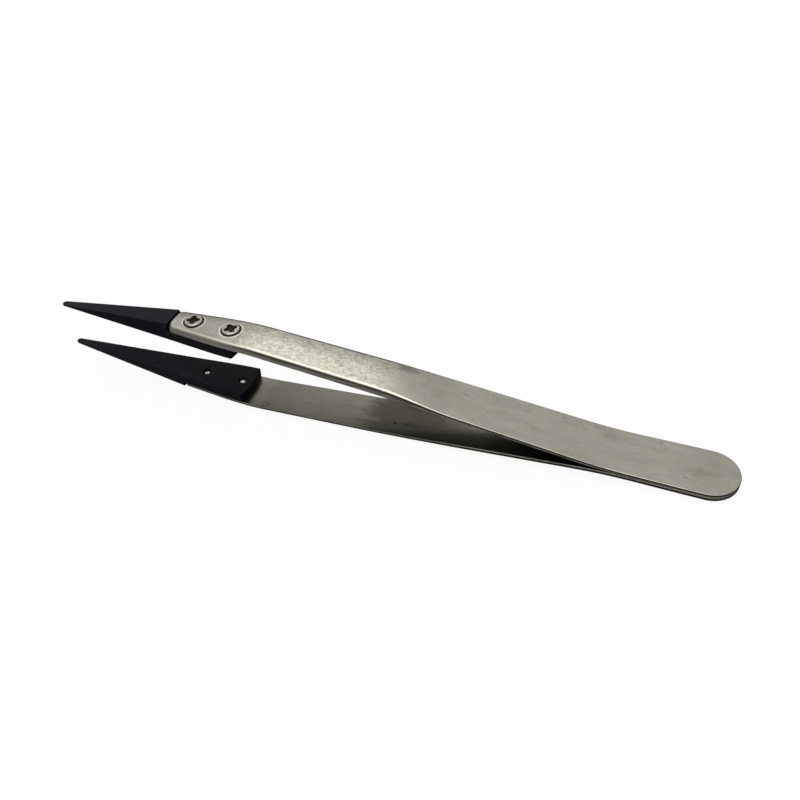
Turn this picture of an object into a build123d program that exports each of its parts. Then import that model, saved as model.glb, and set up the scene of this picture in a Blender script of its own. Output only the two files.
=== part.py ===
from build123d import *
import os
from math import asin, atan, cos, degrees, hypot, radians, sin, tan

# Anti-static tweezers: two spring steel arms welded at the heel, each with a black conductive
# plastic tip held from outside by two cross-recess screws. The tool lies on its lower arm.
# Distances along the tool run from the heel's end, in millimetres.

# Arms, seen from above
overall_length = 130.0
nose_length = 26.5
heel_width = 9.8
heel_straight = 8.0
body_taper = 0.0113
front_taper = 0.0975
front_taper_lead = 1.4
front_taper_bend = 8.0
front_corner = 1.0

# Arms, seen from the side
weld_length = 16.0
heel_bend = 10.0
spread_angle = 6.55
belly_bend_start = 53.0
belly_bend = 12.0
belly_angle = 4.4
jaw_bend = 4.0

# Section of the arms: thin at the spring, thick with sloped sides in front
spring_thickness = 0.7
front_thickness = 1.45
side_slope_width = 0.55
thickening_start = 47.0
thickening_length = 14.0

# Plastic tips
shoulder_clearance = 0.15
shank_length = 14.75
seat_lead = 0.4
shank_thickness = 1.85
shank_rear_radius = 15.0
shank_flare = 0.19
nose_end_width = 1.2
nose_end_thickness = 0.3

# Screws
front_screw_inset = 4.35
screw_spacing = 7.95
head_diameter = 3.4
head_height = 0.8
head_edge_radius = 0.18
seat_diameter = 3.8
seat_depth = 0.45
thread_diameter = 2.0
thread_fit = 0.02
arm_hole_clearance = 0.1
thread_end_depth = 0.4
pilot_diameter = 1.5
recess_length = 2.4
recess_width = 0.75
recess_depth = 0.55
recess_taper = 20.0

# The hinge line that stands for the bending arms lies just ahead of the weld
hinge_lead = 4.0
closed_clearance = 0.1

# Sections in the lofts, and how far cutting shapes reach past what they cut
spring_section_count = 16
seat_section_count = 6
cut_margin = 1.0

upper = 1
lower = -1
arm_length = overall_length - nose_length
shoulder = arm_length + shoulder_clearance
shank_rear = shoulder - shank_length
seat_start = shank_rear - seat_lead
front_screw_place = arm_length - front_screw_inset
rear_screw_place = front_screw_place - screw_spacing
screw_places = [(front_screw_place, 0), (rear_screw_place, 0)]


def bend_rise(s, start, length):
    # height gained by a bend that turns from flat to a slope of one over its length
    turned = min(max(s - start, 0), length)
    return turned**2 / (2 * length) + max(s - start - length, 0)


def thickening(s):
    # 0 in the spring, 1 in the thick front, smooth between
    u = min(max((s - thickening_start) / thickening_length, 0), 1)
    return u * u * (3 - 2 * u)


def gap_at(s):
    # half the gap between the arms' inner faces
    spread = tan(radians(spread_angle))
    belly = tan(radians(belly_angle))
    rise = spread * bend_rise(s, weld_length, heel_bend)
    rise -= (spread - belly) * bend_rise(s, belly_bend_start, belly_bend)
    return rise - belly * bend_rise(s, seat_start - jaw_bend, jaw_bend)


def thickness_at(s):
    return spring_thickness + (front_thickness - spring_thickness) * thickening(s)


def half_width_at(s):
    # half the width of an arm's inner face
    taper = body_taper * max(s - heel_straight, 0)
    front_taper_start = shank_rear - front_taper_lead
    taper += (front_taper - body_taper) * bend_rise(s, front_taper_start, front_taper_bend)
    return heel_width / 2 - taper


def arm_outline(s, side):
    # a trapezoid: the inner face is the wide one
    inner = gap_at(s)
    outer = inner + thickness_at(s)
    wide = half_width_at(s)
    narrow = wide - side_slope_width * thickening(s)
    return [(-wide, side * inner), (wide, side * inner), (narrow, side * outer), (-narrow, side * outer)]


def evenly(start, end, count):
    return [start + (end - start) * i / count for i in range(count + 1)]


spring_stations = evenly(weld_length, seat_start, spring_section_count)
seat_stations = evenly(seat_start, arm_length, seat_section_count)
shank_stations = evenly(shank_rear, shoulder, seat_section_count)

# Heights above the plane between the arms, for the upper side; the lower side mirrors them
seat_height = gap_at(arm_length)
outer_height = seat_height + front_thickness
jaw_height = seat_height - shank_thickness
nose_end_height = jaw_height + nose_end_thickness
seat_floor = outer_height - seat_depth
head_top = seat_floor + head_height
thread_end = jaw_height + thread_end_depth

# The lower arm touches the ground at the heel's end and where its belly reaches furthest down
belly_stations = evenly(weld_length, seat_start, 50 * spring_section_count)
rest_slope = max((gap_at(s) + thickness_at(s) - spring_thickness) / s for s in belly_stations)
rest_tilt = atan(rest_slope)
tilted_span = overall_length * cos(rest_tilt) + (nose_end_height + spring_thickness) * sin(rest_tilt)
heel_x = tilted_span / 2 - spring_thickness * sin(rest_tilt)
heel_z = spring_thickness * cos(rest_tilt)

# The tool's own plane: x from the heel to the tips, z from the lower arm to the upper one
tool = Plane(
    origin=(heel_x, 0, heel_z),
    x_dir=(-cos(rest_tilt), 0, sin(rest_tilt)),
    z_dir=(sin(rest_tilt), 0, cos(rest_tilt)),
)


def across(s):
    # plane square to the tool, its x across and its y up
    return Plane(origin=tool.from_local_coords((s, 0, 0)), x_dir=-tool.y_dir, z_dir=-tool.x_dir)


def shank_outline(s, side):
    # flush with the arm at the seat, flared at the inner face
    wide = half_width_at(s)
    flared = wide + shank_flare
    return [
        (-flared, side * jaw_height),
        (flared, side * jaw_height),
        (wide, side * seat_height),
        (-wide, side * seat_height),
    ]


def shoulder_outline(side):
    # the shank's section below, the arm's front section above
    wide = half_width_at(shoulder)
    flared = wide + shank_flare
    narrow = wide - side_slope_width
    return [
        (-flared, side * jaw_height),
        (flared, side * jaw_height),
        (wide, side * seat_height),
        (narrow, side * outer_height),
        (-narrow, side * outer_height),
        (-wide, side * seat_height),
    ]


def nose_end_outline(side):
    # an upright rectangle with the shoulder's six corners
    wide = nose_end_width / 2
    middle = jaw_height + nose_end_thickness / 2
    return [
        (-wide, side * jaw_height),
        (wide, side * jaw_height),
        (wide, side * middle),
        (wide, side * nose_end_height),
        (-wide, side * nose_end_height),
        (-wide, side * middle),
    ]


os.makedirs("parts", exist_ok=True)

for name, side in (("upper_arm", upper), ("lower_arm", lower)):
    with BuildPart() as arm:
        # straight heel, where the two arms are welded face to face
        for s in (0, heel_straight, weld_length):
            with BuildSketch(across(s)):
                with BuildLine():
                    Polyline(*arm_outline(s, side), close=True)
                make_face()
        loft(ruled=True)
        # spring and belly
        for s in spring_stations:
            with BuildSketch(across(s)):
                with BuildLine():
                    Polyline(*arm_outline(s, side), close=True)
                make_face()
        loft()
        # flat seat for the tip
        for s in seat_stations:
            with BuildSketch(across(s)):
                with BuildLine():
                    Polyline(*arm_outline(s, side), close=True)
                make_face()
        loft(ruled=True)
        # rounded heel
        with BuildSketch(tool):
            with Locations((heel_width / 4, 0)):
                Rectangle(heel_width / 2, heel_width + cut_margin)
            with Locations((heel_width / 2, 0)):
                Circle(heel_width / 2, mode=Mode.SUBTRACT)
        extrude(amount=spring_thickness + cut_margin, both=True, mode=Mode.SUBTRACT)
        # rounded front corners
        front_face = arm.faces().sort_by(Axis(tool.origin, tool.x_dir))[-1]
        fillet(front_face.edges().sort_by(Axis.Y)[0::3], front_corner)
        # screw seats and clearance holes
        with BuildSketch(tool.offset(side * seat_floor)):
            with Locations(screw_places):
                Circle(seat_diameter / 2)
        extrude(amount=side * front_thickness, mode=Mode.SUBTRACT)
        with BuildSketch(tool.offset(side * outer_height)):
            with Locations(screw_places):
                Circle(thread_diameter / 2 + arm_hole_clearance)
        extrude(amount=-side * (front_thickness + cut_margin), mode=Mode.SUBTRACT)
    arm.part.label = name
    export_step(arm.part, f"parts/{name}.step")

for name, side in (("upper_tip", upper), ("lower_tip", lower)):
    with BuildPart() as tip:
        # shank, flat against the arm's inner face and a little wider at its own inner face
        for s in shank_stations:
            with BuildSketch(across(s)):
                with BuildLine():
                    Polyline(*shank_outline(s, side), close=True)
                make_face()
        loft(ruled=True)
        # nose, as thick as arm and shank together at its shoulder
        for s, outline in ((shoulder, shoulder_outline(side)), (overall_length, nose_end_outline(side))):
            with BuildSketch(across(s)):
                with BuildLine():
                    Polyline(*outline, close=True)
                make_face()
        loft(ruled=True)
        # rounded rear end of the shank
        with BuildSketch(tool):
            with Locations((shank_rear, 0)):
                Rectangle(heel_width / 2, heel_width + cut_margin)
            with Locations((shank_rear + shank_rear_radius, 0)):
                Circle(shank_rear_radius, mode=Mode.SUBTRACT)
        extrude(amount=outer_height, both=True, mode=Mode.SUBTRACT)
        # rounded end of the nose
        with BuildSketch(tool):
            with Locations((overall_length - nose_end_width / 4, 0)):
                Rectangle(nose_end_width / 2, nose_end_width + cut_margin)
            with Locations((overall_length - nose_end_width / 2, 0)):
                Circle(nose_end_width / 2, mode=Mode.SUBTRACT)
        extrude(amount=nose_end_height + cut_margin, both=True, mode=Mode.SUBTRACT)
        # threaded holes, with a narrower pilot hole out through the inner face
        with BuildSketch(tool.offset(side * jaw_height)):
            with Locations(screw_places):
                Circle(pilot_diameter / 2)
        extrude(amount=side * shank_thickness, mode=Mode.SUBTRACT)
        with BuildSketch(tool.offset(side * thread_end)):
            with Locations(screw_places):
                Circle(thread_diameter / 2 + thread_fit)
        extrude(amount=side * shank_thickness, mode=Mode.SUBTRACT)
    tip.part.label = name
    export_step(tip.part, f"parts/{name}.step")

# name, side, place along the tool and turn of the cross recess
screws = [
    ("upper_front_screw", upper, front_screw_place, 12),
    ("upper_rear_screw", upper, rear_screw_place, 48),
    ("lower_front_screw", lower, front_screw_place, 30),
    ("lower_rear_screw", lower, rear_screw_place, 71),
]
for name, side, place, turn in screws:
    with BuildPart() as screw:
        # threaded shaft and head
        with BuildSketch(tool.offset(side * thread_end)):
            with Locations((place, 0)):
                Circle(thread_diameter / 2)
        extrude(amount=side * (seat_floor - thread_end))
        with BuildSketch(tool.offset(side * seat_floor)):
            with Locations((place, 0)):
                Circle(head_diameter / 2)
        extrude(amount=side * head_height)
        rim = screw.edges().filter_by(GeomType.CIRCLE).sort_by(Axis(tool.origin, side * tool.z_dir))[-1]
        fillet(rim, head_edge_radius)
        # cross recess
        with BuildSketch(tool.offset(side * head_top)):
            with Locations((place, 0)):
                Rectangle(recess_length, recess_width, rotation=turn)
                Rectangle(recess_width, recess_length, rotation=turn)
        extrude(amount=-side * recess_depth, taper=recess_taper, mode=Mode.SUBTRACT)
    screw.part.label = name
    export_step(screw.part, f"parts/{name}.step")

# The joint that stands for the bending arms
hinge = weld_length + hinge_lead
hinge_point = tool.from_local_coords((hinge, 0, 0))
nose_radius = hypot(overall_length - hinge, jaw_height)
closing_angle = atan(jaw_height / (overall_length - hinge))
closing_angle += asin((jaw_height - closed_clearance) / nose_radius)
print(f"rest tilt {degrees(rest_tilt):.2f} degrees, hinge at x {hinge_point.X:.3f} z {hinge_point.Z:.3f}")
print(f"closing angle {degrees(closing_angle):.3f} degrees, jaw gap {2 * jaw_height:.2f} mm")
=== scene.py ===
import bpy
import bmesh
from math import cos, pi, radians, sin, tan
from mathutils import Matrix, Vector


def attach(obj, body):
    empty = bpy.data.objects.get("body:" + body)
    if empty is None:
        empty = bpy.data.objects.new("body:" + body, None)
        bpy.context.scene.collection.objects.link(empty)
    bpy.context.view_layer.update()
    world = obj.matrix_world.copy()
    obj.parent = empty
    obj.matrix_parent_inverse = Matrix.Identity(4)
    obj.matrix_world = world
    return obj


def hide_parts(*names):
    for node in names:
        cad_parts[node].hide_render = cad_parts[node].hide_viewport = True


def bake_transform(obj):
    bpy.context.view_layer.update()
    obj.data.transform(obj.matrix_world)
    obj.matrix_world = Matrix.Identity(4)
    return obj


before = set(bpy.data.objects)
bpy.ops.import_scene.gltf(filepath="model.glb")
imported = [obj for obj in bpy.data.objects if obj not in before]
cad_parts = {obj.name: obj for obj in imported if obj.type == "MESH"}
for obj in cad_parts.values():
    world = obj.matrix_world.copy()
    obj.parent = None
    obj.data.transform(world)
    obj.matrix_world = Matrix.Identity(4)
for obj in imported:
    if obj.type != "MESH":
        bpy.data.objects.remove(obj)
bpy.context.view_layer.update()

# Anti-static tweezers. Shapes are made in millimetres along the tool: x from the heel to the tips,
# z from the lower arm to the upper one. toolToWorld then lays the tool down as the frame has it.
rest = {
    "heelPlace": (0.064942, 0.0, 0.000697),  # metres
    "tilt": 4.91,  # degrees, the tool leans on its belly
}


def toolToWorld(lower=False):
    turned = Matrix.Rotation(radians(rest["tilt"]), 4, "Y") @ Matrix.Rotation(pi, 4, "Z")
    if lower:  # the lower half is the upper one turned over
        turned = turned @ Matrix.Rotation(pi, 4, "X")
    return Matrix.Translation(rest["heelPlace"]) @ turned @ Matrix.Scale(0.001, 4)


class Wire:
    # one output of a node, with arithmetic that adds Math nodes
    def __init__(self, graph, socket):
        self.graph = graph
        self.socket = socket

    def other(self, name):
        return Wire(self.graph, self.socket.node.outputs[name])

    def math(self, operation, first, second=None):
        return self.graph.math(operation, first, second)

    def __add__(self, value):
        return self.math("ADD", self, value)

    def __radd__(self, value):
        return self.math("ADD", value, self)

    def __sub__(self, value):
        return self.math("SUBTRACT", self, value)

    def __rsub__(self, value):
        return self.math("SUBTRACT", value, self)

    def __mul__(self, value):
        return self.math("MULTIPLY", self, value)

    def __rmul__(self, value):
        return self.math("MULTIPLY", value, self)

    def __truediv__(self, value):
        return self.math("DIVIDE", self, value)

    def __rtruediv__(self, value):
        return self.math("DIVIDE", value, self)

    def __neg__(self):
        return self.math("MULTIPLY", self, -1.0)

    def __abs__(self):
        return self.math("ABSOLUTE", self)

    def __pow__(self, value):
        return self.math("POWER", self, value)

    def within(self, low, high):
        return self.math("MINIMUM", self.math("MAXIMUM", self, low), high)

    def eased(self, low, high):
        # 0 below low, 1 above high, smooth between
        return self.graph.node("ShaderNodeMapRange", {"interpolation_type": "SMOOTHSTEP"}, {
            "Value": self, "From Min": low, "From Max": high,
        })


class Graph:
    def __init__(self, tree):
        self.tree = tree

    def node(self, kind, settings=None, sockets=None):
        # settings come first, because some of them change which sockets there are
        made = self.tree.nodes.new(kind)
        for name, value in (settings or {}).items():
            if name == "stops":
                self.setStops(made.color_ramp, value)
            else:
                setattr(made, name, value)
        for name, value in (sockets or {}).items():
            for each in value if isinstance(value, list) else [value]:
                if isinstance(each, Wire):
                    self.tree.links.new(each.socket, made.inputs[name])
                else:
                    made.inputs[name].default_value = each
        return Wire(self, next((out for out in made.outputs if out.enabled), None))

    def setStops(self, ramp, stops):
        while len(ramp.elements) < len(stops):
            ramp.elements.new(1.0)
        for element, (position, value) in zip(ramp.elements, stops):
            element.position = position
            element.color = (value, value, value, 1.0)

    def math(self, operation, first, second=None):
        sockets = {0: first}
        if second is not None:
            sockets[1] = second
        return self.node("ShaderNodeMath", {"operation": operation}, sockets)

    def mixColour(self, factor, first, second, blend="MIX"):
        return self.node("ShaderNodeMix", {"data_type": "RGBA", "blend_type": blend}, {
            0: factor, 6: first, 7: second,
        })

    def parts(self, vector):
        # the X part of a vector, other("Y") and other("Z") reach the rest
        return self.node("ShaderNodeSeparateXYZ", sockets={"Vector": vector})

    def vector(self, x=0.0, y=0.0, z=0.0):
        return self.node("ShaderNodeCombineXYZ", sockets={"X": x, "Y": y, "Z": z})

    def here(self):
        # the parts of a point's place, in a Geometry Nodes tree
        return self.parts(self.node("GeometryNodeInputPosition"))

    def keep(self, geometry, name, value, kind="FLOAT", domain="POINT", chosen=True):
        return self.node("GeometryNodeStoreNamedAttribute", {"data_type": kind, "domain": domain}, {
            "Geometry": geometry, "Selection": chosen, "Name": name, "Value": value,
        })

    def kept(self, name, kind="FLOAT"):
        return self.node("GeometryNodeInputNamedAttribute", {"data_type": kind}, {"Name": name})


def newTree(name, inputs):
    # a Geometry Nodes tree with one named input for each size
    tree = bpy.data.node_groups.new(name, "GeometryNodeTree")
    tree.interface.new_socket("Geometry", in_out="INPUT", socket_type="NodeSocketGeometry")
    for key, value in inputs.items():
        kind = "NodeSocketFloat"
        if isinstance(value, int):
            kind = "NodeSocketInt"
        elif isinstance(value, bpy.types.Object):
            kind = "NodeSocketObject"
        elif isinstance(value, bpy.types.Material):
            kind = "NodeSocketMaterial"
        tree.interface.new_socket(key, in_out="INPUT", socket_type=kind)
    tree.interface.new_socket("Geometry", in_out="OUTPUT", socket_type="NodeSocketGeometry")
    graph = Graph(tree)
    entry = tree.nodes.new("NodeGroupInput")
    sizes = {out.name: Wire(graph, out) for out in entry.outputs if out.name}
    return graph, sizes


def endTree(graph, geometry, material):
    real = graph.node("GeometryNodeRealizeInstances", sockets={"Geometry": geometry})
    painted = graph.node("GeometryNodeSetMaterial", sockets={"Geometry": real, "Material": material})
    graph.node("NodeGroupOutput", sockets={"Geometry": painted})
    return graph.tree


def useTree(piece, tree, values):
    modifier = piece.modifiers.new(tree.name, "NODES")
    modifier.node_group = tree
    for item in tree.interface.items_tree:
        if item.in_out == "INPUT" and item.name in values:
            modifier[item.identifier] = values[item.name]


def newObject(name, mesh):
    made = bpy.data.objects.new(name, mesh)
    bpy.context.scene.collection.objects.link(made)
    return made


def settle(source, name, lower=False):
    # the evaluated shape becomes a plain mesh, laid down in the row frame
    bpy.context.view_layer.update()
    evaluated = source.evaluated_get(bpy.context.evaluated_depsgraph_get())
    mesh = bpy.data.meshes.new_from_object(evaluated)
    mesh.name = name
    mesh.transform(toolToWorld(lower))
    bpy.data.objects.remove(source)
    return newObject(name, mesh)


farAway = 1000.0  # millimetres, past every end of the tool


def limited(value, low, high):
    # takes a plain number or a node's output
    if isinstance(value, Wire):
        return value.within(low, high)
    return min(max(value, low), high)


def bendRise(along, start, length):
    # height gained by a bend that turns from flat to a slope of one over its length
    turned = limited(along - start, 0.0, length)
    return turned * turned / (length * 2) + limited(along - start - length, 0.0, farAway)


# Arms, sizes in millimetres
armSizes = {
    "length": 103.5,
    "heelWidth": 9.8,
    "straightHeel": 8.0,
    "bodyTaper": 0.0113,
    "frontTaper": 0.0975,
    "frontTaperStart": 87.5,
    "frontTaperBend": 8.0,
    "frontCorner": 1.0,
    "weldLength": 16.0,
    "heelBend": 10.0,
    "spreadSlope": tan(radians(6.55)),
    "bellyStart": 53.0,
    "bellyBend": 12.0,
    "bellySlope": tan(radians(4.4)),
    "jawBendStart": 84.5,
    "jawBend": 4.0,
    "springThickness": 0.7,
    "frontThickness": 1.45,
    "sideSlope": 0.55,
    "thickeningStart": 47.0,
    "thickeningLength": 14.0,
    "heelRungs": 14,
    "bodyRungs": 104,
    "cornerRungs": 6,
    "columns": 6,
    "border": 0.6,  # strip of faces along the outline
    "crown": 0.16,  # the outer face is this much lower at its sides
    "rounding": 0.55,
    "roundingSteps": 5,
    "narrowRounding": 0.28,  # share of the rounding on the thin edges
}


def halfGap(size, along):
    # half the gap between the arms' inner faces
    gap = size["spreadSlope"] * bendRise(along, size["weldLength"], size["heelBend"])
    lessSlope = size["spreadSlope"] - size["bellySlope"]
    gap = gap - lessSlope * bendRise(along, size["bellyStart"], size["bellyBend"])
    return gap - size["bellySlope"] * bendRise(along, size["jawBendStart"], size["jawBend"])


def thickening(size, along):
    # 0 in the spring, 1 in the thick front, smooth between
    share = limited((along - size["thickeningStart"]) / size["thickeningLength"], 0.0, 1.0)
    return share * share * (3 - 2 * share)


def thickness(size, along):
    gained = size["frontThickness"] - size["springThickness"]
    return size["springThickness"] + gained * thickening(size, along)


def narrowing(size, along):
    # how far each side has come in since the heel
    extraTaper = size["frontTaper"] - size["bodyTaper"]
    taper = size["bodyTaper"] * limited(along - size["straightHeel"], 0.0, farAway)
    return taper + extraTaper * bendRise(along, size["frontTaperStart"], size["frontTaperBend"])


roundedFrom = radians(25)  # edges that turn more than this are rounded
crispFrom = radians(32)  # and what still turns more than this is shaded crisp


def bentStripTree():
    graph, size = newTree("bentStrip", armSizes)
    rungs = size["heelRungs"] + size["bodyRungs"] + size["cornerRungs"]
    ladder = graph.node("GeometryNodeMeshGrid", sockets={
        "Size X": rungs, "Size Y": 2.0, "Vertices X": rungs + 1, "Vertices Y": size["columns"] + 1,
    })
    gridX = graph.here()
    rung = gridX + rungs / 2
    # how far round the heel, along the body and round the front corners this rung lies
    heelTurn = (rung / size["heelRungs"]).within(0.0, 1.0) * (pi / 2)
    body = ((rung - size["heelRungs"]) / size["bodyRungs"]).within(0.0, 1.0)
    cornerTurn = ((rung - size["heelRungs"] - size["bodyRungs"]) / size["cornerRungs"]).within(0.0, 1.0)
    cornerTurn = cornerTurn * (pi / 2)
    heelRadius = size["heelWidth"] / 2
    bodyLength = size["length"] - heelRadius - size["frontCorner"]
    # which way the outline faces there: out past the heel, to the side, out past the front
    outX = graph.math("SINE", cornerTurn) - graph.math("COSINE", heelTurn)
    outY = graph.math("SINE", heelTurn) * graph.math("COSINE", cornerTurn)
    along = heelRadius * (1 - graph.math("COSINE", heelTurn)) + bodyLength * body
    along = along + size["frontCorner"] * graph.math("SINE", cornerTurn)
    taper = narrowing(size, along)
    wide = heelRadius * graph.math("SINE", heelTurn) - taper
    wide = wide - size["frontCorner"] * (1 - graph.math("COSINE", cornerTurn))
    # the rungs stop short of the outline, and a border of its own goes round them
    share = gridX.other("Y")
    atSide = graph.math("GREATER_THAN", abs(share), 0.99)
    border = size["border"]
    within = graph.vector(along - outX * border, share * (wide - outY * border))
    outwards = graph.vector(outX, outY * graph.math("SIGN", share) * atSide)
    ladder = graph.keep(ladder, "acrossShare", share)
    ladder = graph.keep(ladder, "crownPlace", share * wide / (heelRadius - taper))
    ladder = graph.keep(ladder, "outwards", outwards, "FLOAT_VECTOR")
    ladder = graph.node("GeometryNodeSetPosition", sockets={"Geometry": ladder, "Position": within})
    rim = graph.math("LESS_THAN", graph.node("GeometryNodeInputMeshEdgeNeighbors"), 1.5)
    bordered = graph.node("GeometryNodeExtrudeMesh", {"mode": "EDGES"}, {
        "Mesh": ladder, "Selection": rim, "Offset Scale": 0.0,
    })
    step = graph.node("ShaderNodeVectorMath", {"operation": "SCALE"}, {
        "Vector": graph.kept("outwards", "FLOAT_VECTOR"), "Scale": border,
    })
    flat = graph.node("GeometryNodeSetPosition", sockets={
        "Geometry": bordered, "Selection": bordered.other("Top"), "Offset": step,
    })
    bent = graph.vector(z=halfGap(size, graph.here()))
    strip = graph.node("GeometryNodeSetPosition", sockets={"Geometry": flat, "Offset": bent})
    # the outer face is lifted by the thickness and narrowed by the sloped sides
    under = graph.node("GeometryNodeFlipFaces", sockets={"Mesh": strip})
    raised = graph.node("GeometryNodeExtrudeMesh", {"mode": "FACES"}, {
        "Mesh": strip, "Offset Scale": 0.0, "Individual": False,
    })
    stripX = graph.here()
    thick = thickening(size, stripX)
    inwards = -(graph.kept("acrossShare") * size["sideSlope"] * thick)
    crownPlace = graph.kept("crownPlace")
    crowned = thickness(size, stripX) - size["crown"] * thick * crownPlace * crownPlace
    lift = graph.vector(y=inwards, z=crowned)
    outer = graph.node("GeometryNodeSetPosition", sockets={
        "Geometry": raised, "Selection": raised.other("Top"), "Offset": lift,
    })
    outer = graph.keep(outer, "outerSide", 1.0, chosen=raised.other("Top"))
    shell = graph.node("GeometryNodeJoinGeometry", sockets={"Geometry": [under, outer]})
    closed = graph.node("GeometryNodeMergeByDistance", sockets={"Geometry": shell, "Distance": 0.001})
    smooth = graph.node("GeometryNodeSetShadeSmooth", sockets={"Geometry": closed, "Shade Smooth": True})
    # how much each edge is rounded: most along the outer face of the thick front
    crisp = graph.math("GREATER_THAN", graph.node("GeometryNodeInputMeshEdgeAngle"), roundedFrom)
    outerEdge = graph.math("GREATER_THAN", graph.kept("outerSide"), 0.9)
    least = size["narrowRounding"]
    weight = crisp * (least + (1 - least) * thick * outerEdge)
    weighted = graph.keep(smooth, "bevel_weight_edge", weight, domain="EDGE")
    graph.node("NodeGroupOutput", sockets={"Geometry": weighted})
    return graph.tree


def lathe(name, profile, steps=64):
    # a closed turned solid from (radius, height) points that start and end on the axis
    shape = bmesh.new()
    rings = []
    for radius, height in profile:
        count = 1 if radius == 0 else steps
        angles = [2 * pi * i / steps for i in range(count)]
        rings.append([shape.verts.new((radius * cos(a), radius * sin(a), height)) for a in angles])
    for low, high in zip(rings, rings[1:]):
        for i in range(steps):
            corners = [
                low[i % len(low)], low[(i + 1) % len(low)],
                high[(i + 1) % len(high)], high[i % len(high)],
            ]
            shape.faces.new(list(dict.fromkeys(corners)))
    bmesh.ops.recalc_face_normals(shape, faces=shape.faces)
    mesh = bpy.data.meshes.new(name)
    shape.to_mesh(mesh)
    shape.free()
    return newObject(name, mesh)


def screwPoints(graph, size):
    start = graph.vector(x=size["firstPlace"])
    step = graph.vector(x=-size["spacing"])
    return graph.node("GeometryNodeMeshLine", sockets={"Count": 2, "Start Location": start, "Offset": step})


def cutScrewPlacesTree(values):
    # takes the same turned shape out of a piece at both screw places
    graph, size = newTree("cutScrewPlaces", values)
    pattern = graph.node("GeometryNodeObjectInfo", sockets={"Object": size["cutter"]}).other("Geometry")
    cutters = graph.node("GeometryNodeInstanceOnPoints", sockets={
        "Points": screwPoints(graph, size), "Instance": pattern,
    })
    cutters = graph.node("GeometryNodeRealizeInstances", sockets={"Geometry": cutters})
    cut = graph.node("GeometryNodeMeshBoolean", {"operation": "DIFFERENCE"}, {
        "Mesh 1": size["Geometry"], "Mesh 2": cutters,
    })
    return finishTree(graph, cut, size)


def finishTree(graph, geometry, size):
    if "spreadSlope" in size:  # on an arm, 0 at the inner face and 1 at the outer one
        here = graph.here()
        through = (here.other("Z") - halfGap(size, here)) / thickness(size, here)
        geometry = graph.keep(geometry, "throughArm", through)
    # crisp edges stay crisp, and each point keeps its place on the tool for the material's pattern
    smooth = graph.node("GeometryNodeSetShadeSmooth", sockets={"Geometry": geometry, "Shade Smooth": True})
    gentle = graph.math("LESS_THAN", graph.node("GeometryNodeInputMeshEdgeAngle"), crispFrom)
    shaded = graph.node("GeometryNodeSetShadeSmooth", {"domain": "EDGE"}, {
        "Geometry": smooth, "Shade Smooth": gentle,
    })
    placed = graph.keep(shaded, "toolPlace", graph.node("GeometryNodeInputPosition"), "FLOAT_VECTOR")
    return endTree(graph, placed, size["finish"])


def roundEdges(piece, width, segments):
    # each edge by its own bevel weight
    bevel = piece.modifiers.new("roundEdges", "BEVEL")
    bevel.width = width
    bevel.segments = segments
    bevel.limit_method = "WEIGHT"
    bevel.use_clamp_overlap = False


def evenShading(piece):
    weighted = piece.modifiers.new("evenShading", "WEIGHTED_NORMAL")
    weighted.mode = "FACE_AREA"
    weighted.keep_sharp = True


def newFinish(name):
    material = bpy.data.materials.new(name)
    material.use_nodes = True
    material.node_tree.nodes.clear()
    graph = Graph(material.node_tree)
    place = graph.node("ShaderNodeAttribute", {"attribute_name": "toolPlace"}).other("Vector")
    return material, graph, place


def mottle(graph, place, stretch, detail=3.0, shift=(0.0, 0.0, 0.0)):
    # noise whose spots are 1 / stretch millimetres long in each direction
    mapped = graph.node("ShaderNodeMapping", sockets={"Vector": place, "Location": shift, "Scale": stretch})
    return graph.node("ShaderNodeTexNoise", sockets={
        "Vector": mapped, "Scale": 1.0, "Detail": detail, "Roughness": 0.6,
    })


def patch(graph, along, across, ragged, mark):
    # an uneven patch round a point on the tool, 1 in its middle
    x = (along - mark["place"][0]) / mark["size"][0]
    y = (across - mark["place"][1]) / mark["size"][1]
    distance = (x * x + y * y) ** 0.5 + (ragged - 0.5) * mark["ragged"]
    return (1 - distance.eased(1 - mark["soft"], 1.0)) * mark["strength"]


# Brushed stainless steel
steelLook = {
    "pale": (0.500, 0.489, 0.415, 1.0),
    "deep": (0.300, 0.293, 0.243, 1.0),
    "speck": (0.130, 0.123, 0.098, 1.0),
    "side": (0.520, 0.500, 0.425, 1.0),
    # dark colour for the side's streaks and for painted shade on the arms' edges
    "sideStreakAndShade": (0.045, 0.041, 0.030, 1.0),
    "smudge": (0.125, 0.118, 0.095, 1.0),
    # painted shade for the inner faces between the arms
    "gapShade": (0.030, 0.028, 0.021, 1.0),
    # painted highlight round the screw seats
    "ring": (0.880, 0.860, 0.780, 1.0),
    # grime and painted shade in the screw seats
    "grimeAndShade": (0.030, 0.022, 0.016, 1.0),
    "pinkTinge": (1.0, 0.945, 0.965, 1.0),
    "yellowTinge": (1.0, 1.0, 0.945, 1.0),
    "roughness": 0.31,
}
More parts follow.
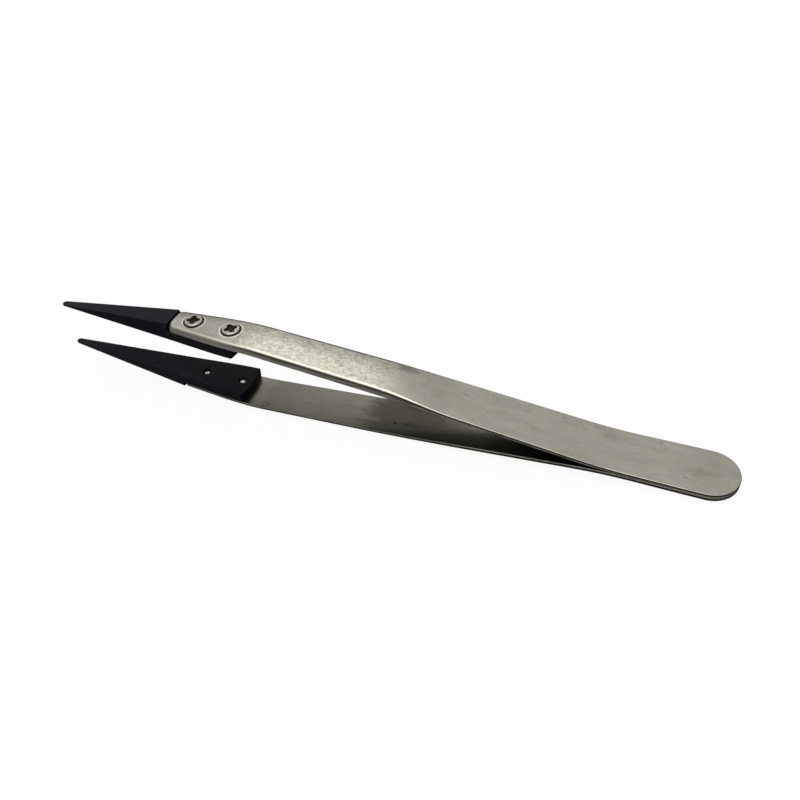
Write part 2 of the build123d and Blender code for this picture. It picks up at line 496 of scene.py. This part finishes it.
# Places and sizes are along and across the arm in millimetres. The worn stretch fades in between
# the first two places and out between the last two. The painted shade of the inner face is (place, share of
# colour kept) along it.
gapShadeRampSpan = 104.0
steelMarks = {
    "upperArmSteel": {
        "onOuterFace": True,
        "smudges": [
            {"place": (6.2, 0.4), "size": (3.0, 1.1), "ragged": 2.2, "soft": 0.8, "strength": 0.30},
            {"place": (57.6, -3.0), "size": (3.0, 1.9), "ragged": 1.6, "soft": 0.9, "strength": 0.70},
            {"place": (52.5, -1.5), "size": (5.0, 3.2), "ragged": 1.8, "soft": 0.9, "strength": 0.20},
            {"place": (49.0, 0.0), "size": (13.0, 9.0), "ragged": 0.6, "soft": 0.95, "strength": 0.22},
            {"place": (96.0, 1.5), "size": (7.0, 4.0), "ragged": 0.8, "soft": 0.95, "strength": 0.30},
            {"place": (21.5, -2.4), "size": (2.2, 1.2), "ragged": 1.4, "soft": 0.9, "strength": 0.22},
        ],
        "worn": (57.0, 62.0, 90.0, 97.0),
        "wornAmount": 1.0,
        "gapShadeRamp": [(0.0, 0.3)],
        "sideShade": 0.0,  # how dark the side is towards the outer face
    },
    "lowerArmSteel": {
        "onOuterFace": False,
        "smudges": [
            {"place": (58.75, -1.6), "size": (0.45, 0.45), "ragged": 0.3, "soft": 0.35, "strength": 0.97},
            {"place": (55.6, -1.5), "size": (2.3, 0.5), "ragged": 2.6, "soft": 0.6, "strength": 0.6},
            {"place": (57.0, 3.0), "size": (3.2, 1.0), "ragged": 1.6, "soft": 0.9, "strength": 0.6},
            {"place": (84.4, -3.0), "size": (0.5, 0.5), "ragged": 1.5, "soft": 0.8, "strength": 0.5},
            {"place": (80.4, 2.8), "size": (0.25, 1.0), "ragged": 0.6, "soft": 0.9, "strength": 0.25},
            {"place": (64.6, 1.6), "size": (0.5, 0.35), "ragged": 0.9, "soft": 0.9, "strength": 0.4},
        ],
        "worn": (44.0, 50.0, 57.0, 63.0),
        "wornAmount": 0.6,
        "gapShadeRamp": [
            (32, 0.11), (37, 0.20), (42, 0.28), (47, 0.15), (52, 0.06), (62, 0.07), (67, 0.27), (77, 0.34),
        ],
        "sideShade": 0.95,
    },
}


def brushedSteel(name, marks):
    material, graph, place = newFinish(name)
    along = graph.parts(place)
    across = along.other("Y")
    through = graph.node("ShaderNodeAttribute", {"attribute_name": "throughArm"}).other("Fac")
    facing = graph.parts(graph.node("ShaderNodeNewGeometry").other("Normal"))
    side = 1 - abs(facing.other("Z")).eased(0.58, 0.84)
    inner = (1 - through.eased(0.02, 0.08)) * (1 - side)
    marked = through.eased(0.8, 0.9) if marks["onOuterFace"] else inner
    # grain along the arm, clouds, and the speckle of the worn part
    grain = mottle(graph, place, (0.30, 8.0, 6.0), 4.0)
    fineGrain = mottle(graph, place, (0.9, 17.0, 12.0), 2.0, (3.0, 1.0, 0.0))
    clouds = mottle(graph, place, (0.14, 0.5, 0.3), 3.0, (7.0, 2.0, 0.0))
    blotches = mottle(graph, place, (1.1, 2.2, 1.5), 3.0, (1.0, 9.0, 0.0))
    specks = mottle(graph, place, (1.9, 4.6, 3.0), 3.0, (6.0, 2.0, 0.0))
    streaks = mottle(graph, place, (0.10, 1.0, 5.5), 3.0, (0.0, 3.0, 3.0))
    begin, full, fade, end = marks["worn"]
    worn = along.eased(begin, full) * (1 - along.eased(fade, end)) * marked * marks["wornAmount"]
    tone = grain * 0.40 + fineGrain * 0.24 + clouds * 0.36
    tone = (tone - 0.5) * 2.2 + 0.5 + (blotches - 0.5) * worn * 3.0
    colour = graph.mixColour(tone.within(0.0, 1.0), steelLook["deep"], steelLook["pale"])
    dots = specks.eased(0.55, 0.68) * worn
    colour = graph.mixColour(dots * 0.75, colour, steelLook["speck"])
    # patches where skin oil has tinted the steel
    oily = mottle(graph, place, (0.35, 0.6, 0.4), 2.0, (2.0, 6.0, 1.0))
    tinges = {
        "pinkTinge": oily.eased(0.53, 0.63),
        "yellowTinge": 1 - oily.eased(0.38, 0.47),
    }
    for tinge, amount in tinges.items():
        tinted = graph.mixColour(1.0, colour, steelLook[tinge], "MULTIPLY")
        colour = graph.mixColour(amount * 0.9, colour, tinted)
    # a few hairline scratches run across the grain
    slanted = graph.node("ShaderNodeMapping", sockets={
        "Vector": place, "Rotation": (0.0, 0.0, radians(-52)), "Scale": (0.35, 2.2, 0.0),
    })
    hair = graph.node("ShaderNodeTexNoise", sockets={"Vector": slanted, "Scale": 1.0, "Detail": 1.0})
    scratched = mottle(graph, place, (0.35, 0.5, 0.0), 1.0, (4.0, 4.0, 4.0)).eased(0.54, 0.60)
    scratch = (1 - abs(hair - 0.5).eased(0.003, 0.014)) * scratched * marked
    colour = graph.mixColour(scratch * 0.60, colour, steelLook["speck"])
    # smudges and dirt
    ragged = mottle(graph, place, (0.8, 1.5, 1.0), 4.0, (5.0, 5.0, 0.0))
    dirt = None
    for mark in marks["smudges"]:
        spot = patch(graph, along, across, ragged, mark)
        dirt = spot if dirt is None else graph.math("MAXIMUM", dirt, spot)
    dirt = dirt * marked
    colour = graph.mixColour(dirt, colour, steelLook["smudge"])
    # painted shade on the inner faces inside the tool, darkest towards the weld
    wavering = along + (clouds - 0.5) * 9.0 + (ragged - 0.5) * 5.0
    gapShadeShare = graph.node("ShaderNodeValToRGB", {
        "stops": [(at / gapShadeRampSpan, share) for at, share in marks["gapShadeRamp"]],
    }, {"Fac": wavering / gapShadeRampSpan})
    gapShadeShare = gapShadeShare * (1 + across * 0.05)
    gapShadeColour = graph.mixColour(gapShadeShare.within(0.0, 1.0), steelLook["gapShade"], colour)
    colour = graph.mixColour(inner, colour, gapShadeColour)
    # painted shade on the rounding of the inner edge, on the arm whose sideShade is set
    innerEdgeShade = (1 - through.eased(0.12, 0.2)) * (1 - inner) * (1 - side) * marks["sideShade"]
    colour = graph.mixColour(innerEdgeShade * 0.6, colour, steelLook["sideStreakAndShade"])
    # painted shade darkens the sheared sides under the outer face's rounding, less so at the screws
    sideTopShade = through.eased(0.30, 0.70) * (1 - along.eased(84.0, 93.0) * 0.8)
    sideColour = graph.mixColour(sideTopShade, steelLook["side"], steelLook["sideStreakAndShade"])
    # streaks on the side, over an even painted shade that is less towards the screws
    streaksAndShade = ((streaks - 0.5) * 3.4 + 0.30 - along.eased(82.0, 90.0) * 0.2).within(0.0, 0.9)
    # painted shade on the side away from the inner face, on the arm whose sideShade is set
    streaksAndShade = graph.math("MAXIMUM", streaksAndShade, through.eased(0.10, 0.22) * marks["sideShade"])
    sideColour = graph.mixColour(streaksAndShade, sideColour, steelLook["sideStreakAndShade"])
    # painted shade: a dark line on the edges whose normals face +y, away from the camera
    farEdgeShade = facing.other("Y").eased(0.10, 0.32) * through.eased(0.4, 0.6) * (1 - side)
    colour = graph.mixColour(farEdgeShade * 0.85, colour, steelLook["sideStreakAndShade"])
    colour = graph.mixColour(side, colour, sideColour)
    # a painted highlight ring round each screw seat, and grime and painted shade in it
    distances = []
    for screwAt in (screwPlaces["firstPlace"], screwPlaces["firstPlace"] - screwPlaces["spacing"]):
        aside = along - screwAt
        distances.append((aside * aside + across * across) ** 0.5)
    pastSeat = graph.math("MINIMUM", *distances) - screwSizes["seatRadius"]
    # painted highlight: a pale ring just outside each seat, on the outer face
    ring = pastSeat.eased(0.03, 0.13) * (1 - pastSeat.eased(0.25, 0.45)) * through.eased(0.9, 0.97)
    colour = graph.mixColour(ring * 0.6, colour, steelLook["ring"])
    # grime and painted shade inside each seat
    seatGrimeAndShade = (1 - pastSeat.eased(-0.04, 0.03)) * through.eased(0.3, 0.5)
    colour = graph.mixColour(seatGrimeAndShade * 0.85, colour, steelLook["grimeAndShade"])
    rough = steelLook["roughness"] + (grain - 0.5) * 0.12 + (clouds - 0.5) * 0.10 + worn * 0.03
    rough = rough + dirt * 0.14 + side * 0.10
    height = grain * 0.6 + fineGrain * 0.4 + worn * blotches * 0.5 - scratch * 0.6
    relief = graph.node("ShaderNodeBump", sockets={
        "Strength": 0.4, "Distance": 0.00003, "Height": height,
    })
    surface = graph.node("ShaderNodeBsdfPrincipled", sockets={
        "Base Color": colour, "Metallic": 1.0, "Roughness": rough.within(0.12, 0.8), "Normal": relief,
    })
    graph.node("ShaderNodeOutputMaterial", sockets={"Surface": surface})
    return material


# Black conductive plastic, moulded, with a faint blue cast
plasticLook = {
    "deep": (0.0016, 0.0020, 0.0036, 1.0),
    "pale": (0.0050, 0.0060, 0.0095, 1.0),
    # pale colour of rubbed plastic, also the painted sheen of the outer face
    "rubbedAndSheen": (0.026, 0.027, 0.031, 1.0),
    "roughness": 0.44,
    "specular": 0.07,
}


def mouldedPlastic(name):
    material, graph, place = newFinish(name)
    along = graph.parts(place)
    pores = mottle(graph, place, (7.0, 7.0, 7.0), 4.0)
    flow = mottle(graph, place, (0.25, 1.2, 1.2), 3.0, (2.0, 0.0, 3.0))
    handled = mottle(graph, place, (0.5, 0.9, 0.9), 4.0, (8.0, 3.0, 1.0)).eased(0.5, 0.72)
    tone = (pores * 0.4 + flow * 0.6 - 0.5) * 2.0 + 0.5
    colour = graph.mixColour(tone.within(0.0, 1.0), plasticLook["deep"], plasticLook["pale"])
    # rubbed paler towards the points and in handled patches, and a painted sheen makes the outer face paler
    noseSlope = (outerHeight - noseEndHeight) / (tipSizes["end"] - shoulder)
    outerFace = outerHeight - (along - shoulder).within(0.0, farAway) * noseSlope
    onOuterFace = (along.other("Z") - outerFace).eased(-0.16, -0.06)
    rubbedAndSheen = along.eased(118.0, 131.0) * 0.25 + handled * 0.16 + onOuterFace * 0.28
    colour = graph.mixColour(rubbedAndSheen, colour, plasticLook["rubbedAndSheen"])
    rough = plasticLook["roughness"] + (pores - 0.5) * 0.12 - handled * 0.08
    relief = graph.node("ShaderNodeBump", sockets={
        "Strength": 0.4, "Distance": 0.00003, "Height": pores * 0.7 + flow * 0.3,
    })
    surface = graph.node("ShaderNodeBsdfPrincipled", sockets={
        "Base Color": colour, "Roughness": rough.within(0.2, 0.8),
        "Specular IOR Level": plasticLook["specular"], "Normal": relief,
    })
    graph.node("ShaderNodeOutputMaterial", sockets={"Surface": surface})
    return material


# Nickel-plated screws, with dirt and painted shade in the recess
nickelLook = {
    "pale": (0.50, 0.468, 0.430, 1.0),
    "deep": (0.32, 0.297, 0.270, 1.0),
    # also the colour of the painted shade in the recess, round the head's foot and round the thread's end
    "dirt": (0.022, 0.014, 0.010, 1.0),
    "roughness": 0.27,
    "specular": 0.1,
}


def platedNickel(name):
    material, graph, place = newFinish(name)
    x = graph.parts(place)
    y = x.other("Y")
    height = x.other("Z")
    radius = (x * x + y * y) ** 0.5
    # faint rings left by turning, and small spots
    rings = graph.math("SINE", radius * 42.0) * 0.5 + 0.5
    spots = mottle(graph, place, (3.0, 3.0, 3.0), 4.0)
    tone = (spots - 0.5) * 2.4 + 0.4 + rings * 0.2
    colour = graph.mixColour(tone.within(0.0, 1.0), nickelLook["deep"], nickelLook["pale"])
    # the recess holds dirt and painted shade, and the foot of the head's side painted shade
    belowTop = headTop - height
    inRecess = belowTop.eased(0.02, 0.10) * height.eased(seatFloor + 0.05, seatFloor + 0.1)
    inRecess = inRecess * (1 - radius.eased(1.35, 1.45))
    footShade = belowTop.eased(0.12, 0.40) * radius.eased(1.4, 1.5)
    dirt = graph.math("MAXIMUM", inRecess * 0.97, footShade * 0.9)
    # painted shade darkens the thread's end in its hole, all but its middle
    atEnd = 1 - height.eased(threadEnd + 0.1, threadEnd + 0.2)
    endRimShade = atEnd * (radius + (spots - 0.5) * 0.5).eased(0.40, 0.52)
    dirt = graph.math("MAXIMUM", dirt, endRimShade)
    dirt = graph.math("MAXIMUM", dirt, spots.eased(0.60, 0.74) * 0.3)
    # the dirt colour carries the painted shade too
    colour = graph.mixColour(dirt, colour, nickelLook["dirt"])
    rough = nickelLook["roughness"] + (spots - 0.5) * 0.16 + dirt * 0.45
    relief = graph.node("ShaderNodeBump", sockets={
        "Strength": 0.3, "Distance": 0.00002, "Height": rings * 0.5 + spots * 0.5,
    })
    surface = graph.node("ShaderNodeBsdfPrincipled", sockets={
        "Base Color": colour, "Metallic": 1 - dirt * 0.7, "Roughness": rough.within(0.12, 0.8),
        "Specular IOR Level": nickelLook["specular"], "Normal": relief,
    })
    graph.node("ShaderNodeOutputMaterial", sockets={"Surface": surface})
    return material


# Screws and their seats, sizes in millimetres
screwPlaces = {
    "firstPlace": 99.15,
    "spacing": 7.95,
}
screwSizes = {
    "headRadius": 1.7,
    "headHeight": 0.8,
    "headEdge": 0.18,
    "seatRadius": 1.9,
    "seatDepth": 0.45,
    "seatChamfer": 0.14,
    "holeRadius": 1.1,
    "threadRadius": 1.0,
    "threadChamfer": 0.1,
    "recessLength": 2.5,
    "recessWidth": 0.84,
    "recessDepth": 0.55,
    "recessTaper": 20.0,  # degrees
    "wingEnd": 0.8,  # a wing's width at its end and at its root, as shares of recessWidth
    "wingRoot": 1.45,
    "turns": {"upperScrews": (20.0, 48.0), "lowerScrews": (-30.0, -71.0)},  # degrees
}
# heights above the plane between the arms, on the upper half
seatHeight = halfGap(armSizes, armSizes["length"])
outerHeight = seatHeight + armSizes["frontThickness"]
seatFloor = outerHeight - screwSizes["seatDepth"]
headTop = seatFloor + screwSizes["headHeight"]
cutMargin = 0.5  # how far the turned cutters reach past what they cut
steels = {name: brushedSteel(name, marks) for name, marks in steelMarks.items()}

print("arms")
stripTree = bentStripTree()
seatCutter = lathe("seatCutter", [
    (0, seatHeight - cutMargin),
    (screwSizes["holeRadius"], seatHeight - cutMargin),
    (screwSizes["holeRadius"], seatFloor),
    (screwSizes["seatRadius"], seatFloor),
    (screwSizes["seatRadius"], outerHeight - screwSizes["seatChamfer"]),
    (screwSizes["seatRadius"] + screwSizes["seatChamfer"] + cutMargin, outerHeight + cutMargin),
    (0, outerHeight + cutMargin),
])
arms = {}
seatValues = {**armSizes, **screwPlaces, "cutter": seatCutter, "finish": steels["upperArmSteel"]}
seatTree = cutScrewPlacesTree(seatValues)
for name, lower in (("upperArm", False), ("lowerArm", True)):
    strip = newObject(name + "Strip", bpy.data.meshes.new(name + "Strip"))
    useTree(strip, stripTree, armSizes)
    roundEdges(strip, armSizes["rounding"], armSizes["roundingSteps"])
    useTree(strip, seatTree, {**seatValues, "finish": steels[name + "Steel"]})
    evenShading(strip)
    arms[name] = settle(strip, name, lower)
bpy.data.objects.remove(seatCutter)

# Plastic tips, sizes in millimetres
tipSizes = {
    "end": 130.0,
    "shoulderClearance": 0.15,
    "shankLength": 14.75,
    "rearRadius": 15.0,
    "shankThickness": 1.85,
    "flare": 0.19,
    "endWidth": 1.2,
    "endThickness": 0.3,
    "pilotRadius": 0.75,
    "threadEndDepth": 0.4,
    "threadRadius": 1.02,
    "pilotChamfer": 0.05,
    "edge": 0.12,
    "edgeSteps": 3,
    "finePlaces": (118.0, 125.0),  # the edges' rounding is less past each of these
}
shoulder = armSizes["length"] + tipSizes["shoulderClearance"]
shankRear = shoulder - tipSizes["shankLength"]
jawHeight = seatHeight - tipSizes["shankThickness"]
noseEndHeight = jawHeight + tipSizes["endThickness"]
threadEnd = jawHeight + tipSizes["threadEndDepth"]


def halfWidth(along):
    # half the width of an arm's inner face
    return armSizes["heelWidth"] / 2 - narrowing(armSizes, along)


def arcDepth(wide):
    # how far the shank's round rear end falls back at this distance from its middle
    return tipSizes["rearRadius"] - (tipSizes["rearRadius"]**2 - wide**2) ** 0.5


def mouldedTip(name):
    # shank under the arm, a step up at its shoulder, then a nose that tapers both ways
    shape = bmesh.new()
    # the shank's rear end is an arc seen from above, so its sides start a little ahead of its
    # middle, and a few rounds settle where
    rearCorner = shankRear
    for step in range(6):
        rearCorner = shankRear + arcDepth(halfWidth(rearCorner) + tipSizes["flare"])
    shank = []
    shankSteps = 8
    for i in range(shankSteps + 1):
        s = rearCorner + (shoulder - rearCorner) * i / shankSteps
        wide = halfWidth(s)
        low = wide + tipSizes["flare"]
        outline = [(-low, jawHeight), (low, jawHeight), (wide, seatHeight), (-wide, seatHeight)]
        shank.append([shape.verts.new((s, y, z)) for y, z in outline])
    arcs = []
    arcSteps = 10
    for first, second, height in ((0, 1, jawHeight), (3, 2, seatHeight)):
        reach = shank[0][second].co.y
        inside = []
        for i in range(1, arcSteps):
            y = -reach + 2 * reach * i / arcSteps
            x = rearCorner - arcDepth(reach) + arcDepth(y)
            inside.append(shape.verts.new((x, y, height)))
        arcs.append([shank[0][first], *inside, shank[0][second]])
    narrow = halfWidth(shoulder) - armSizes["sideSlope"]
    stepUp = [shape.verts.new((shoulder, y, outerHeight)) for y in (narrow, -narrow)]
    ring = [*shank[-1][:3], *stepUp, shank[-1][3]]
    endWide = tipSizes["endWidth"] / 2
    start = [vert.co.copy() for vert in ring]
    endMiddle = (jawHeight + noseEndHeight) / 2
    endPlaces = [
        (-endWide, jawHeight), (endWide, jawHeight), (endWide, endMiddle),
        (endWide, noseEndHeight), (-endWide, noseEndHeight), (-endWide, endMiddle),
    ]
    noseLength = tipSizes["end"] - shoulder
    roundStart = tipSizes["end"] - endWide
    rings = [ring]
    # straight up to the round point, whose rings stand closer and closer
    rounded = [roundStart + endWide * sin(radians(angle)) for angle in (25, 50, 70, 84)]
    for x in [*tipSizes["finePlaces"], roundStart, *rounded]:
        share = (x - shoulder) / noseLength
        into = max(x - roundStart, 0) / endWide
        limit = endWide * (1 - into**2) ** 0.5 if into > 0 else farAway
        corners = []
        for begin, (endY, endZ) in zip(start, endPlaces):
            y = begin.y + (endY - begin.y) * share
            y = max(-limit, min(limit, y))
            corners.append(shape.verts.new((x, y, begin.z + (endZ - begin.z) * share)))
        rings.append(corners)
    for before, after in zip(shank, shank[1:]):
        for i in range(4):
            if before is not shank[0] or i in (1, 3):
                shape.faces.new([before[i], before[(i + 1) % 4], after[(i + 1) % 4], after[i]])
    for i in range(arcSteps):
        shape.faces.new([arcs[0][i], arcs[0][i + 1], arcs[1][i + 1], arcs[1][i]])
    shape.faces.new([*arcs[0], shank[1][1], shank[1][0]])
    shape.faces.new([*arcs[1], shank[1][2], shank[1][3]])
    shape.faces.new([shank[-1][2], shank[-1][3], stepUp[1], stepUp[0]])
    for before, after in zip(rings, rings[1:]):
        for i in range(6):
            shape.faces.new([before[i], before[(i + 1) % 6], after[(i + 1) % 6], after[i]])
    shape.faces.new(rings[-1])
    bmesh.ops.recalc_face_normals(shape, faces=shape.faces)
    shape.normal_update()
    # every outward edge is rounded, except at the very point
    weights = shape.edges.layers.float.new("bevel_weight_edge")
    fineFrom, finestFrom = tipSizes["finePlaces"]
    for line in shape.edges:
        middle = (line.verts[0].co.x + line.verts[1].co.x) / 2
        crisp = line.is_convex and line.calc_face_angle() > roundedFrom
        fade = 1.0 if middle < fineFrom else 0.6 if middle < finestFrom else 0.3
        line[weights] = fade if crisp and middle < roundStart - 0.01 else 0.0
    mesh = bpy.data.meshes.new(name)
    shape.to_mesh(mesh)
    shape.free()
    return newObject(name, mesh)


print("tips")
blackPlastic = mouldedPlastic("blackPlastic")
pilotCutter = lathe("pilotCutter", [
    (0, jawHeight - cutMargin),
    (tipSizes["pilotRadius"] + cutMargin + tipSizes["pilotChamfer"], jawHeight - cutMargin),
    (tipSizes["pilotRadius"], jawHeight + tipSizes["pilotChamfer"]),
    (tipSizes["pilotRadius"], threadEnd),
    (tipSizes["threadRadius"], threadEnd),
    (tipSizes["threadRadius"], seatHeight + cutMargin),
    (0, seatHeight + cutMargin),
])
tips = {}
pilotValues = {**screwPlaces, "cutter": pilotCutter, "finish": blackPlastic}
pilotTree = cutScrewPlacesTree(pilotValues)
for name, lower in (("upperTip", False), ("lowerTip", True)):
    tip = mouldedTip(name + "Solid")
    roundEdges(tip, tipSizes["edge"], tipSizes["edgeSteps"])
    useTree(tip, pilotTree, pilotValues)
    evenShading(tip)
    tips[name] = settle(tip, name, lower)
bpy.data.objects.remove(pilotCutter)


def crossCutter(name):
    # the driver's cross, narrower towards its bottom
    shape = bmesh.new()
    aboveHead = 0.2
    slope = tan(radians(screwSizes["recessTaper"]))
    rings = []
    for depth in (-aboveHead, screwSizes["recessDepth"]):
        longHalf = screwSizes["recessLength"] / 2 - depth * slope
        thinHalf = screwSizes["recessWidth"] / 2 - depth * slope
        end = screwSizes["wingEnd"] * thinHalf
        root = screwSizes["wingRoot"] * thinHalf
        ring = []
        for turn in range(4):
            c, s = cos(turn * pi / 2), sin(turn * pi / 2)
            for x, y in ((longHalf, -end), (longHalf, end), (root, root)):
                ring.append(shape.verts.new((x * c - y * s, x * s + y * c, headTop - depth)))
        rings.append(ring)
    count = len(rings[0])
    for i in range(count):
        shape.faces.new([rings[0][i], rings[0][(i + 1) % count], rings[1][(i + 1) % count], rings[1][i]])
    shape.faces.new(rings[0])
    shape.faces.new(rings[1])
    bmesh.ops.recalc_face_normals(shape, faces=shape.faces)
    mesh = bpy.data.meshes.new(name)
    shape.to_mesh(mesh)
    shape.free()
    return newObject(name, mesh)


def screwPairTree(values):
    # the front screw and the rear one, each with its own turn in degrees
    graph, size = newTree("screwPair", values)
    order = graph.node("GeometryNodeInputIndex")
    turn = size["frontTurn"] + order * (size["rearTurn"] - size["frontTurn"])
    pattern = graph.node("GeometryNodeObjectInfo", sockets={"Object": size["pattern"]}).other("Geometry")
    spin = graph.vector(z=turn * (pi / 180))
    pair = graph.node("GeometryNodeInstanceOnPoints", sockets={
        "Points": screwPoints(graph, size), "Instance": pattern, "Rotation": spin,
    })
    return endTree(graph, pair, size["finish"])


def tidyTree(values):
    graph, size = newTree("tidyShading", values)
    return finishTree(graph, size["Geometry"], size)


print("screws")
nickel = platedNickel("screwNickel")
headRadius = screwSizes["headRadius"]
threadRadius = screwSizes["threadRadius"]
chamfer = screwSizes["threadChamfer"]
edge = screwSizes["headEdge"]
edgeAngles = [radians(90 * i / 5) for i in range(6)]
screwPattern = lathe("screwPattern", [
    (0, threadEnd),
    (threadRadius - chamfer, threadEnd),
    (threadRadius, threadEnd + chamfer),
    (threadRadius, seatFloor),
    (headRadius, seatFloor),
    *[(headRadius - edge * (1 - cos(angle)), headTop - edge * (1 - sin(angle))) for angle in edgeAngles],
    (0, headTop),
])
cross = crossCutter("crossCutter")
cut = screwPattern.modifiers.new("recess", "BOOLEAN")
cut.object = cross
cut.operation = "DIFFERENCE"
cut.solver = "EXACT"
useTree(screwPattern, tidyTree({"finish": nickel}), {"finish": nickel})
evenShading(screwPattern)
screwPairs = {}
pairValues = {**screwPlaces, "frontTurn": 0.0, "rearTurn": 0.0, "pattern": screwPattern, "finish": nickel}
pairTree = screwPairTree(pairValues)
for name, (frontTurn, rearTurn) in screwSizes["turns"].items():
    pair = newObject(name + "Pair", bpy.data.meshes.new(name + "Pair"))
    useTree(pair, pairTree, {**pairValues, "frontTurn": frontTurn, "rearTurn": rearTurn})
    screwPairs[name] = settle(pair, name, name == "lowerScrews")
bpy.data.objects.remove(screwPattern)
bpy.data.objects.remove(cross)

print("frame")


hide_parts("upper_arm")
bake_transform(arms["upperArm"])
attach(arms["lowerArm"], "lower_half")
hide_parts("lower_arm")
for name, body, node in (("upperTip", "upper_half", "upper_tip"), ("lowerTip", "lower_half", "lower_tip")):
    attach(tips[name], body)
    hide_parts(node)
for name, body in (("upperScrews", "upper_half"), ("lowerScrews", "lower_half")):
    side = body.split("_")[0]
    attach(screwPairs[name], body)
    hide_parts(side + "_front_screw", side + "_rear_screw")

# Studio
studio = {
    "cameraPlace": (0.061154, -0.101592, 0.108637),
    "cameraTurn": (47.851425, 7.211095, 21.599172),  # degrees
    "lens": 38.93,
    "sensorWidth": 36.0,
    "floorSize": 3.0,
    "floorColour": (0.75, 0.75, 0.75, 1.0),
    "frontReflected": (0.26, 0.26, 0.26, 1.0),
    "backReflected": (0.05, 0.05, 0.05, 1.0),
    "floorWhite": 0.93,  # how far the camera sees plain white in place of the lit sheet
    "wallLow": (0.07, 0.07, 0.07, 1.0),
    "wallHigh": (0.78, 0.78, 0.78, 1.0),
}

print("studio")
cameraData = bpy.data.cameras.new("camera")
cameraData.lens = studio["lens"]
cameraData.sensor_width = studio["sensorWidth"]
cameraData.clip_start = 0.005
cameraData.clip_end = 20.0
camera = bpy.data.objects.new("camera", cameraData)
camera.location = studio["cameraPlace"]
camera.rotation_euler = [radians(angle) for angle in studio["cameraTurn"]]
bpy.context.scene.collection.objects.link(camera)
bpy.context.scene.camera = camera

floorMesh = bpy.data.meshes.new("floor")
half = studio["floorSize"] / 2
floorCorners = [(-half, -half, 0), (half, -half, 0), (half, half, 0), (-half, half, 0)]
floorMesh.from_pydata(floorCorners, [], [(0, 1, 2, 3)])
floor = newObject("floor", floorMesh)
floorMaterial = bpy.data.materials.new("floorWhite")
floorMaterial.use_nodes = True
floorMaterial.node_tree.nodes.clear()
graph = Graph(floorMaterial.node_tree)
seen = graph.node("ShaderNodeLightPath").other("Is Camera Ray")
# reflections see a darker sheet, darkest behind the tool
backwards = graph.parts(graph.node("ShaderNodeTexCoord").other("Object")).other("Y")
reflected = graph.mixColour(backwards.eased(-0.004, 0.008), studio["frontReflected"], studio["backReflected"])
sheet = graph.mixColour(seen.other("Is Glossy Ray"), studio["floorColour"], reflected)
matt = graph.node("ShaderNodeBsdfDiffuse", sockets={"Color": sheet})
white = graph.node("ShaderNodeEmission", sockets={"Color": (1.0, 1.0, 1.0, 1.0), "Strength": 1.0})
shade = graph.node("ShaderNodeMixShader", sockets={0: seen * studio["floorWhite"], 1: matt, 2: white})
graph.node("ShaderNodeOutputMaterial", sockets={"Surface": shade})
floorMesh.materials.append(floorMaterial)

# the walls are dim near the horizon and pale above, and the camera itself sees white
world = bpy.data.worlds.new("studioWorld")
bpy.context.scene.world = world
world.use_nodes = True
world.node_tree.nodes.clear()
graph = Graph(world.node_tree)
seen = graph.node("ShaderNodeLightPath").other("Is Camera Ray")
upwards = graph.parts(graph.node("ShaderNodeTexCoord").other("Generated")).other("Z")
walls = graph.mixColour(upwards.eased(0.05, 0.75), studio["wallLow"], studio["wallHigh"])
air = graph.node("ShaderNodeBackground", sockets={"Color": walls, "Strength": 1.0})
white = graph.node("ShaderNodeBackground", sockets={"Color": (1.0, 1.0, 1.0, 1.0), "Strength": 1.0})
shade = graph.node("ShaderNodeMixShader", sockets={0: seen, 1: air, 2: white})
graph.node("ShaderNodeOutputWorld", sockets={"Surface": shade})

# the radiance of each soft box, not its power, so that its size can change
softBoxes = {
    "overhead": {"place": (-0.05, -0.10, 0.70), "size": 0.50, "radiance": 3.2},
    "behind": {"place": (-0.146, 0.339, 0.48), "size": 0.17, "radiance": 2.6},
}
for name, values in softBoxes.items():
    lamp = bpy.data.lights.new(name, "AREA")
    lamp.shape = "SQUARE"
    lamp.size = values["size"]
    lamp.energy = values["radiance"] * pi * values["size"] ** 2
    holder = bpy.data.objects.new(name, lamp)
    holder.location = values["place"]
    holder.rotation_euler = (-Vector(values["place"])).to_track_quat("-Z", "Y").to_euler()
    holder.visible_camera = False
    bpy.context.scene.collection.objects.link(holder)

bpy.context.scene.view_settings.view_transform = "Standard"
